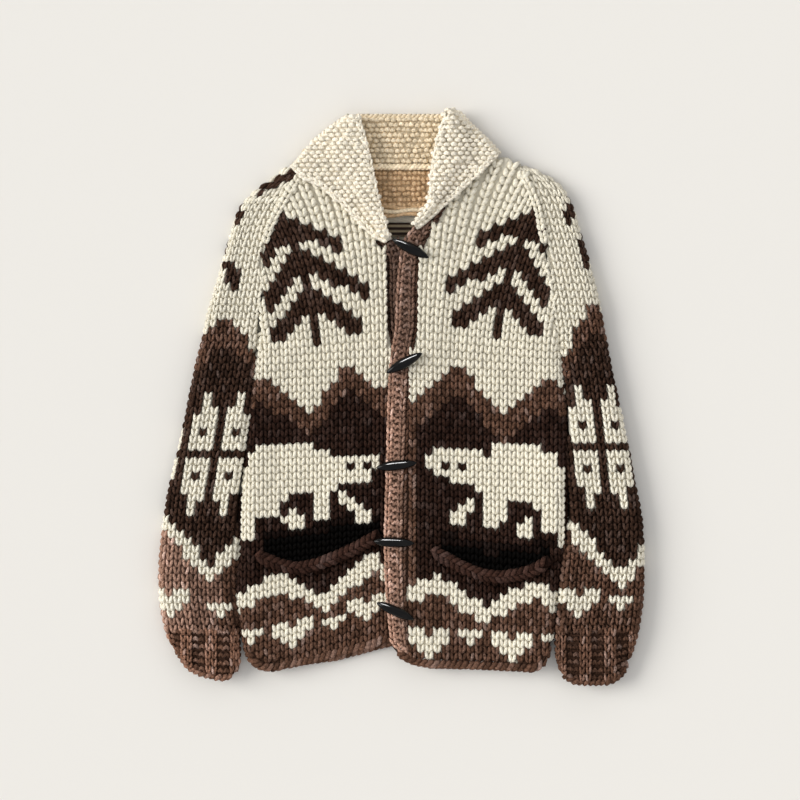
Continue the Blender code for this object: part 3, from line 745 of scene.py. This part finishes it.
def body_zone(x, height):
    """The yarn of the fronts and back where there is no motif."""
    yoke = np.interp(x, *zip(*YOKE))
    zigzag = np.interp(x, *zip(*ZIGZAG))
    if height > yoke:
        return "cream"
    if height > yoke - YOKE_DEPTH:
        return "mid"
    if abs(height - zigzag) < ZIGZAG_HALF:
        return "motif"
    # Painted shade: this dark brown is darker than the same yarn on the firs and sleeves
    return "dark" if height > zigzag and not 0 < x < 20 else "mid"


def sleeve_zone(side, x, height):
    yoke = np.interp(x, *zip(*SLEEVE_YOKE[side]))
    zigzag = np.interp(x, *zip(*SLEEVE_ZIGZAG[side]))
    if height > yoke:
        return "cream"
    if height > yoke - YOKE_DEPTH:
        return "mid"
    if abs(height - zigzag) < ZIGZAG_HALF:
        return "motif"
    # Above the zigzag: the lit copy of the dark-brown yarn
    if height > zigzag:
        return "bark"
    # Painted light: below the zigzag, the left sleeve turns lighter towards its outer side, where
    # the light falls from the left
    return "pink" if x < -282 else "fawn" if x < -244 else "mid"


def stamped(panel, column, row, zone):
    """The yarn of one stitch: that of a chart, or else its zone's."""
    for chart, middle, top, name in MOTIFS[panel]:
        down = top - row
        width = len(chart[0])
        place = width - 1 - (column - middle + width // 2)
        if 0 <= down < len(chart) and 0 <= place < width and chart[down][place] == "X":
            return name
    return zone


def panel_yarn(grid, names_at, sides, name, extra=None):
    """All the stitches of one panel, from its lattice."""
    middle, side, up, there = spans(grid)
    rows, columns = np.nonzero(there)
    middle, side, up = middle[there], limited(side[there], STITCH), limited(up[there], ROW)
    names = [names_at(row, column, point) for row, column, point in zip(rows, columns, middle)]
    yarn = Yarn()
    yarn.knit(middle, side, up, names)
    if extra:
        extra(yarn)
    return yarn.make(name, "cream_knit", sides), (middle, names)


ROWS = 70
made = {}

for side in ("left", "right"):
    own = OWN[side]
    columns = PHASE[side] + STITCH / 2 * np.arange(-2, 49)
    rows = FIRST_ROW + ROW / 2 * np.arange(2 * ROWS + 1)
    grid = lattice(lambda out, up: front_point(side, out, up), columns, rows)
    if side == "left":
        grid = grid[:, ::-1]
    count = (len(columns) - 1) // 2

    def names_at(row, column, point):
        out = count - 1 - column if side == "left" else column
        name = stamped(side, out - 1, row, body_zone(point[0], point[1]))
        # Dark stitches just above a pocket mouth are painted in its shade
        return name == "dark" and in_mouth(point[0], point[1]) or name

    def raglan(yarn):
        seam = []
        for height in np.arange(596, 694, 3.0):
            reach = reach_of(f"front_{side}", own, height, 20.0)
            if reach is None:
                continue
            point = from_above(f"front_{side}", own * (reach - 2.5), height)
            if point is not None:
                seam.append((own * (reach + 1.0), height, point[2] + 0.8))
        yarn.chain(seam, "cream", width=11.0, step=8.4, fat=1.1, raised=1.0)

    yarns, stitches = panel_yarn(grid, names_at, 5, f"yarn_front_{side}", raglan)
    cloth = shell(f"front_{side}", body_zone, "cream_knit", step=6.5, stitches=stitches)
    made[f"front_{side}"] = [cloth, yarns]

columns = STITCH / 2 * np.arange(-41, 42)
rows = BACK_ROW + ROW / 2 * np.arange(2 * BACK_ROWS + 1)
grid = lattice(back_point, columns[::-1], rows)


def back_names(row, column, point):
    side = "left" if point[0] < 0 else "right"
    return stamped(side, int(abs(point[0]) / STITCH), row + 1, body_zone(point[0], point[1]))


yarns, stitches = panel_yarn(grid, back_names, 4, "yarn_back")
made["back"] = [shell("back", body_zone, "cream_knit", stitches=stitches), yarns]

for side in ("left", "right"):
    own = OWN[side]
    columns = STITCH / 2 * np.arange(-14, 45)
    rows = SLEEVE_ROW + ROW / 2 * np.arange(2 * SLEEVE_ROWS + 1)
    grid = lattice(lambda out, up: sleeve_point(side, out, up), columns, rows)
    if side == "left":
        grid = grid[:, ::-1]
    count = (len(columns) - 1) // 2

    def names_at(row, column, point):
        out = count - 1 - column if side == "left" else column
        index = row + int((SLEEVE_ROW - FIRST_ROW) / ROW)
        return stamped(f"sleeve_{side}", out - 7, index, sleeve_zone(side, point[0], point[1]))

    yarns, stitches = panel_yarn(grid, names_at, 4, f"yarn_sleeve_{side}")

    def zone_at(x, height):
        return sleeve_zone(side, x, height)

    cloth = shell(f"sleeve_{side}", zone_at, "cream_knit", step=7.5, stitches=stitches)
    made[f"sleeve_{side}"] = [cloth, yarns]

# Cuffs: two knit columns stand out, and two purl columns lie between them
CUFF_SAG = {"left": (10.5, 7.0, 57.6, -273.0), "right": (13.5, 0.0, 64.0, 248.0)}
# Heights of the cuff, and how far its outer and inner edges reach there
CUFF_REACH = {
    "left": (
        (20, 32, 45, 62, CUFF_TOP), (291, 298.5, 306, 315, 319), (225.5, 220.5, 218.5, 217.8, 218),
    ),
    "right": (
        (13.5, 28, 43, 60, CUFF_TOP), (298, 304, 310.5, 316.5, 320.5),
        (217, 210.5, 207.5, 206.5, 207.4),
    ),
}
for side in ("left", "right"):
    own = OWN[side]
    node_name = f"cuff_{side}"
    sag, tilt, tall, first = CUFF_SAG[side]
    # Painted light: the cuff yarn is brightened, the left cuff most, as lit from the left; the purl
    # bumps are painted darker, as shade between the ribs, and the rim's rope a little darker
    cuff_light = 2.2 if side == "left" else 1.3

    def cuff_point(out, up):
        share = (CUFF_TOP - up) / tall
        stations, outers, inners = CUFF_REACH[side]
        outer = np.interp(up, stations, outers)
        inner = np.interp(up, stations, inners)
        middle = (outer + inner) / 2
        half = (outer - inner) / 2
        offset = out - (middle - abs(first))
        flat = half - 13
        near = min(abs(offset) / half, 1)
        height = up - share * (sag * (1 - near ** 4) - tilt * (offset / half if near < 1 else 0))
        if abs(offset) <= flat:
            return from_above(node_name, own * (middle + offset), height)
        turn = (abs(offset) - flat) / CUFF_RADIUS
        toward = own if offset > 0 else -own
        if turn > math.pi:
            x = own * middle + toward * (flat - (turn - math.pi) * CUFF_RADIUS)
            return cast(node_name, (x, height, UNDER), (0, 0, 1))
        way = (toward * math.sin(turn), math.cos(turn))
        x = own * middle + toward * flat
        start = (x + 60 * way[0], height, CUFF_RADIUS + 60 * way[1])
        return cast(node_name, start, (-way[0], 0, -way[1]))

    columns = CUFF_PITCH / 2 * np.arange(-28, 29)
    rows = 8 + CUFF_ROW / 2 * np.arange(2 * 8 + 1)
    grid = lattice(cuff_point, columns, rows)
    if side == "left":
        grid = grid[:, ::-1]
    middle, across, up, there = spans(grid)
    rim = []
    _, outers, inners = CUFF_REACH[side]
    for x in np.arange(own * (inners[0] + 5), own * (outers[1] + 3), own * 2.0):
        found = heights_of(node_name, x, np.arange(0, 60, 0.5))
        point = from_above(node_name, x, found[0] + 4.0) if found else None
        if point is not None:
            rim.append((x, point[1], max(point[2] - 3.6, 4.5)))
    rim.sort()
    floor_line = zip(*[(x, height + 0.5) for x, height, _ in rim])
    clear = middle[..., 1] > np.interp(middle[..., 0], *floor_line)
    there &= clear & (np.abs(up[..., 2]) < 0.8 * np.linalg.norm(up, axis=-1))
    rows_at, columns_at = np.nonzero(there)
    knit = ((columns_at + (1 if side == "left" else 3)) % 4) < 2
    middle = middle[there]
    across, up = limited(across[there], CUFF_PITCH), limited(up[there], CUFF_ROW)
    yarn = Yarn()
    names = ["mid"] * knit.sum()
    yarn.knit(middle[knit], across[knit], up[knit], names, fat=1.16, raised=0.5, light=cuff_light)
    purl = ~knit
    names = ["mid"] * purl.sum()
    yarn.bump(middle[purl], across[purl], up[purl], names, 1.3, -1.1, 0.26, 0.6 * cuff_light)
    yarn.rope(rim, "mid", radius=5.0, step=7.4, slant=0.9, fat=0.8, light=0.8 * cuff_light)
    made[node_name] = [
        shell(node_name, lambda x, height: "mid", "brown_knit", sink=2.6, gap_shade=0.36),
        yarn.make(f"yarn_{node_name}", "brown_knit", 4),
    ]


def top_line(node_name, places, raised=0.0):
    """Points on top of a piece along a line of places."""
    found = [from_above(node_name, x, height) for x, height in places]
    return np.array([(x, y, z + raised) for x, y, z in (p for p in found if p is not None)])


def edges_at(node_name, height, level):
    """Left and right ends of a piece at this height."""
    left = cast(node_name, (-BESIDE, height, level), (1, 0, 0))
    right = cast(node_name, (BESIDE, height, level), (-1, 0, 0))
    return None if left is None or right is None else (left[0], right[0])


# Bands: a light slip-stitch edge, purl bumps, and knit columns towards the seam
for side in ("left", "right"):
    node_name = f"band_{side}"
    level = 14.0 if side == "left" else 23.0
    # Painted shade: the left band, lying under the edge of the right band, is darkened; the right
    # band is painted a little lighter
    band_light = 0.62 if side == "left" else 1.08
    yarn = Yarn()
    rails = []
    for height in np.arange(40, 660, 4.0):
        ends = edges_at(node_name, height, level)
        if ends:
            rails.append((height, *ends))
    rails = np.array(rails)
    heights = rails[:, 0]

    def along_band(share):
        left, right = (rails[:, 1], rails[:, 2]) if side == "right" else (rails[:, 2], rails[:, 1])
        return top_line(node_name, zip(left + (right - left) * share, heights))

    # Painted shade on both bands: the chains and bumps darken above 370 mm up the garment
    for share, name, light in ((0.1, "pink", 1.22), (0.72, "pink", 0.8), (0.92, "mid", 0.72)):
        yarn.chain(along_band(share), name, 9.4, BAND_STEP, light=light * band_light, light_high_up=0.62)
    for share, shift in ((0.3, 0.0), (0.5, 4.3)):
        path = along_band(share)
        at = np.arange(shift, travel(path)[-1], BAND_STEP)
        middle = along_line(path, at)
        side_span = np.tile((9.6, 0.0, 0.0), (len(at), 1))
        up_span = np.tile((0.0, BAND_STEP, 0.0), (len(at), 1))
        light = band_light * shade_high_up(middle, 0.5)
        yarn.bump(middle, side_span, up_span, ["pink"] * len(at), curl=0.3, light=light)
    made[node_name] = [
        shell(node_name, lambda x, height: "pink", "brown_knit", sink=2.0, gap_shade=0.35),
        yarn.make(f"yarn_{node_name}", "brown_knit", 5),
    ]

# Hem edging: strands wound over the rim, along the lower outline
HEMS = {
    "hem_left": (
        (-214, 54), (-207, 36), (-196, 24), (-178, 19), (-129, 28.5), (-110, 33), (-77, 42),
        (-56, 47), (-38, 51), (-24, 58), (8, 63),
    ),
    "hem_right": (
        (-14, 53), (-4, 39), (17, 28), (44, 24), (116, 21.5), (178, 19), (190, 23), (199, 38),
        (203, 55),
    ),
    "hem_back": (
        (-213, 52), (-206, 34), (-196, 25), (-178, 20.5), (-129, 28), (-84, 34), (-58, 41),
        (-37, 47), (-13, 53), (60, 44), (120, 33), (178, 24), (190, 27), (199, 41), (203, 56),
    ),
}
for piece, line in HEMS.items():
    line = np.array(line, float)
    line = along_line(line, np.arange(0, travel(line)[-1], 4.0))
    run = unit(np.gradient(line, axis=0))
    path = []
    for (x, height), (run_x, run_up) in zip(line, run):
        x, height = x - 5.4 * run_up, height + 5.4 * run_x
        top = from_above(piece, x, height)
        if top is not None:
            path.append((x, height, max(top[2] - 4.8, 5.2)))
    yarn = Yarn()
    yarn.rope(path, "mid", 6.8, 8.0, slant=1.3, start=-1.2, sweep=4.2, fat=0.58, light=1.1)
    made[piece] = [
        shell(piece, lambda x, height: "mid", "brown_knit", sink=2.2, gap_shade=0.25),
        yarn.make(f"yarn_{piece}", "brown_knit", 5),
    ]

# Pocket edges: a rolled strip with a dark gap above it, which is shade painted on the fronts
for side, ends in (("left", (-195, -28)), ("right", (41, 201))):
    piece = f"pocket_edge_{side}"
    yarn = Yarn()
    upper, lower = [], []
    for x in np.arange(*ends, 4.0):
        found = heights_of(piece, x, np.arange(135, 215))
        if not found:
            continue
        for store, share in ((upper, 0.3), (lower, 0.72)):
            point = from_above(piece, x, found[-1] + (found[0] - found[-1]) * share)
            if point is not None:
                store.append((point[0], point[1], point[2] - 3.4))
    yarn.rope(upper, "edge", radius=6.0, step=8.4, slant=1.1, fat=0.62, light=0.95)
    yarn.rope(lower, "edge", radius=5.6, step=8.4, slant=-1.1, fat=0.62, light=0.8)
    made[piece] = [
        shell(piece, lambda x, height: "edge", "brown_knit", sink=2.0, gap_shade=0.3),
        yarn.make(f"yarn_{piece}", "brown_knit", 5),
    ]


def moss(yarn, node_name, box, tone, across=9.0, tall=5.9, shift=0.5):
    """Bumps in rows over a piece, seen from above; every other row is shifted."""
    middles, sides, ups, names = [], [], [], []
    for row, height in enumerate(np.arange(box[2], box[3], tall)):
        for x in np.arange(box[0] + (row % 2) * shift * across, box[1], across):
            here = from_above(node_name, x, height)
            beside = from_above(node_name, x + 2, height)
            above = from_above(node_name, x, height + 2)
            if here is None or beside is None or above is None:
                continue
            here, beside, above = np.array(here), np.array(beside), np.array(above)
            middles.append(here)
            sides.append(unit(beside - here) * across)
            ups.append(unit(above - here) * tall * 1.4)
            names.append(tone)
    middles = np.array(middles) + chance.normal(size=(len(middles), 3)) * (0.7, 0.5, 0.3)
    yarn.bump(middles, np.array(sides), np.array(ups), names, fat=1.25, curl=0.08)


# Outer edges of the collar's wings, from the tip up
WING_EDGES = {
    "left": ((-21, 601), (-39, 610), (-58, 629), (-79, 651), (-107, 675), (-134, 688), (-145, 700)),
    "right": ((21, 619), (36, 630), (53, 646), (75, 665), (96, 685), (117, 705), (129, 718)),
}

# Collar: moss stitch on the wings, ridges behind the neck
for side, box in (("left", (-156, -8, 600, 774)), ("right", (12, 138, 616, 781))):
    piece = f"collar_{side}"
    yarn = Yarn()
    moss(yarn, piece, box, "collar")
    own = OWN[side]
    fold = []
    for height in np.arange(box[2] + 6, box[3] - 3, 4.0):
        inner = cast(piece, (0, height, 30), (own, 0, 0))
        if inner is not None:
            top = from_above(piece, inner[0] + own * 5, height)
            if top is not None:
                fold.append((top[0], height, top[2] - 0.6))
    yarn.chain(fold, "collar", width=8.5, step=8.0, raised=0.8)
    rim = [from_above(piece, x, height) for x, height in WING_EDGES[side]]
    rim = np.array([point for point in rim if point is not None])
    yarn.chain(rim + (0, 0, 0.4), "collar", width=9.0, step=8.6, raised=0.9)
    edge = []
    for height in np.arange(640, 779, 3.0):
        point = cast(piece, (own * BESIDE, height, 9.0), (-own, 0, 0))
        if point is not None and abs(point[0]) < np.interp(height, (700, 775), (150, 90)):
            edge.append((point[0] - own * 3.0, height, 8.4))
    yarn.rope(edge, "collar", radius=4.6, step=6.4, slant=1.2, fat=0.62)
    made[piece] = [
        shell(piece, lambda x, height: "collar", "cream_knit"),
        yarn.make(f"yarn_{piece}", "cream_knit", 5),
    ]

yarn = Yarn()
moss(yarn, "collar_back", (-148, 140, 700, 772), "inside", across=7.4, tall=7.0)
cord = [(x, 700.0, 15.2) for x in np.arange(-54, 57, 3.0)]
yarn.rope(cord, "inside", radius=4.6, step=5.6, slant=1.6, fat=0.56, light=1.12)
rear = [cast("collar_back", (x, 900, 9.0), (0, -1, 0)) for x in np.arange(-130, 131, 3.0)]
rear = [(x, height - 3.0, 8.4) for x, height, _ in filter(None, rear)]
yarn.rope(rear, "inside", radius=4.6, step=6.4, fat=0.62)
made["collar_back"] = [
    shell("collar_back", lambda x, height: "inside", "cream_knit"),
    yarn.make("yarn_collar_back", "cream_knit", 5),
]

yarn = Yarn()
# The facing's yarn is painted in the shade of the neck well
moss(yarn, "neck_facing", (-42, 50, 648, 694), "facing", across=6.6, tall=7.2, shift=0.0)
for height, level, tone in ((645, 13.6, "facing"), (640.5, 15.4, "inside"), (635, 14.4, "facing")):
    wave = [(x, height + 1.6 * math.sin(x / 9 + height), level) for x in np.arange(-42, 49, 3.0)]
    yarn.rope(wave, tone, radius=2.8, step=5.0, slant=2.4, fat=0.6)
made["neck_facing"] = [
    shell("neck_facing", lambda x, height: "facing", "cream_knit", sink=1.2),
    yarn.make("yarn_neck_facing", "cream_knit", 5),
]

def label_zone(x, height):
    return "label_light" if (height - 606) % 6.4 < 1.7 else "label_dark"


made["neck_label"] = [shell("neck_label", label_zone, "label_cloth", sink=0.15, step=1.6, gap_shade=1.0)]


def horn_material():
    """Dark polished horn with faint streaks along it."""
    horn = bpy.data.materials.new("horn_polished")
    horn.use_nodes = True
    tree = horn.node_tree
    link = tree.links.new
    shader = tree.nodes["Principled BSDF"]
    where = add_node(tree, "ShaderNodeTexCoord")
    stretch = add_node(tree, "ShaderNodeMapping")
    stretch.inputs["Scale"].default_value = (18, 150, 150)
    link(where.outputs["Object"], stretch.inputs["Vector"])
    streak = noise(tree, stretch.outputs["Vector"], 3.0, 5)
    ramp = add_node(tree, "ShaderNodeValToRGB")
    ramp.color_ramp.elements[0].position = 0.42
    ramp.color_ramp.elements[0].color = (*linear(5, 5, 6), 1)
    ramp.color_ramp.elements[1].position = 0.78
    ramp.color_ramp.elements[1].color = (*linear(26, 22, 19), 1)
    link(streak, ramp.inputs["Fac"])
    link(ramp.outputs["Color"], shader.inputs["Base Color"])
    relief(tree, shader, streak, 0.25, 0.0004)
    shader.inputs["Roughness"].default_value = 0.13
    shader.inputs["Specular IOR Level"].default_value = 0.2
    return horn


# Place and turn of each toggle, from the top
TOGGLES = (
    (12.5, 588.5, -27), (4.0, 434.5, 29), (-6.5, 297.0, 7), (-10.0, 193.5, -3),
    (-8.0, 101.0, -24),
)
horn = horn_material()
for number, (x, height, angle) in enumerate(TOGGLES, start=1):
    turned = []
    rings, sides = 33, 28
    for share in np.linspace(-1, 1, rings):
        round_off = (1 - abs(share) ** 2.4) ** 0.75
        radius = 6.9 * round_off * (1 + 0.025 * math.sin(5 * share + number))
        for k in range(sides):
            around = 2 * math.pi * k / sides
            worn = 1 + 0.02 * math.sin(2 * around + 3 * share + number)
            turned.append((27.8 * share * MM, radius * worn * math.cos(around) * MM,
                           radius * worn * math.sin(around) * MM))
    faces = [
        (start + k, start + (k + 1) % sides, start + sides + (k + 1) % sides, start + sides + k)
        for start in range(0, (rings - 1) * sides, sides) for k in range(sides)
    ]
    mesh = bpy.data.meshes.new(f"spindle_{number}")
    mesh.from_pydata(turned, [], faces)
    edit = bmesh.new()
    edit.from_mesh(mesh)
    bmesh.ops.remove_doubles(edit, verts=edit.verts, dist=0.00001)
    bmesh.ops.recalc_face_normals(edit, faces=edit.faces)
    edit.to_mesh(mesh)
    edit.free()
    mesh.shade_smooth()
    mesh.materials.append(horn)
    spindle = add_object(f"spindle_{number}", mesh)
    spindle.location = (x * MM, (height - LENGTH / 2) * MM, 35.3 * MM)
    spindle.rotation_euler = (0, 0, math.radians(angle))
    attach(spindle, "root")
    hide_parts(f"toggle_{number}")

# Flat size of each piece as it was knitted, how it lies, and the piece that it lies on
CUT = {
    "back": ((0.46, 0.67), 0.275, "laid", ()),
    "front_left": ((0.225, 0.65), 0.124, "laid", ("cloth_back",)),
    "front_right": ((0.225, 0.67), 0.137, "laid", ("cloth_back",)),
    "sleeve_left": ((0.235, 0.62), 0.106, "folded", ()),
    "sleeve_right": ((0.235, 0.62), 0.104, "folded", ()),
    "cuff_left": ((0.235, 0.065), 0.013, "folded", ()),
    "cuff_right": ((0.235, 0.075), 0.0165, "folded", ()),
    "band_left": ((0.034, 0.56), 0.0145, "laid", ("cloth_back",)),
    "band_right": ((0.036, 0.61), 0.017, "laid", ("cloth_band_left",)),
    "hem_back": ((0.44, 0.02), 0.0056, "laid", ()),
    "hem_left": ((0.24, 0.02), 0.0030, "laid", ("cloth_hem_back",)),
    "hem_right": ((0.24, 0.02), 0.0030, "laid", ("cloth_hem_back",)),
    "pocket_edge_left": ((0.18, 0.026), 0.0036, "laid", ("cloth_front_left",)),
    "pocket_edge_right": ((0.175, 0.026), 0.0035, "laid", ("cloth_front_right",)),
    "collar_left": ((0.13, 0.18), 0.019, "folded", ("cloth_front_left",)),
    "collar_right": ((0.12, 0.18), 0.015, "folded", ("cloth_front_right",)),
    "collar_back": ((0.22, 0.15), 0.029, "folded", ()),
    "neck_facing": ((0.094, 0.068), 0.0063, "laid", ("cloth_back",)),
    "neck_label": ((0.038, 0.021), 0.00079, "laid", ("cloth_back",)),
}
for piece, (flat, area, held, below) in CUT.items():
    cloth, *yarns = made[piece]
    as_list(yarns)

floor_mesh = bpy.data.meshes.new("floor")
floor_mesh.from_pydata([(-4, -4, 0), (4, -4, 0), (4, 4, 0), (-4, 4, 0)], [], [(0, 1, 2, 3)])
floor = add_object("floor", floor_mesh)
paper = bpy.data.materials.new("paper")
paper.use_nodes = True
paper_shader = paper.node_tree.nodes["Principled BSDF"]
paper_shader.inputs["Base Color"].default_value = (*linear(238, 235, 229), 1)
paper_shader.inputs["Roughness"].default_value = 0.9
paper_shader.inputs["Specular IOR Level"].default_value = 0.0
floor_mesh.materials.append(paper)

camera_data = bpy.data.cameras.new("camera")
camera_data.lens = 132.7
camera_data.clip_end = 20
camera = add_object("camera", camera_data)
camera.location = (-0.0017, -0.0047, 4.0)
bpy.context.scene.camera = camera


def sun(name, way, strength, spread, colour):
    data = bpy.data.lights.new(name, "SUN")
    data.energy = strength
    data.angle = math.radians(spread)
    data.color = colour
    light = add_object(name, data)
    light.rotation_euler = Vector(way).to_track_quat("Z", "Y").to_euler()


sun("window", (-1.0, 0.16, 0.62), 2.24, 38, (1.0, 0.985, 0.955))
# A strip seen only in the gloss of the horn
glint_data = bpy.data.lights.new("glint", "AREA")
glint_data.shape = "RECTANGLE"
glint_data.size = 1.5
glint_data.size_y = 0.6
glint_data.energy = 210
glint = add_object("glint", glint_data)
glint.location = (-0.35, 2.0, 1.5)
glint.rotation_euler = Vector(glint.location).to_track_quat("Z", "Y").to_euler()
glint.visible_diffuse = False
world_light = bpy.data.worlds.new("room")
world_light.use_nodes = True
background = world_light.node_tree.nodes["Background"]
background.inputs["Color"].default_value = (0.98, 0.985, 1.0, 1)
background.inputs["Strength"].default_value = 0.65
bpy.context.scene.world = world_light
bpy.context.scene.view_settings.view_transform = "Standard"
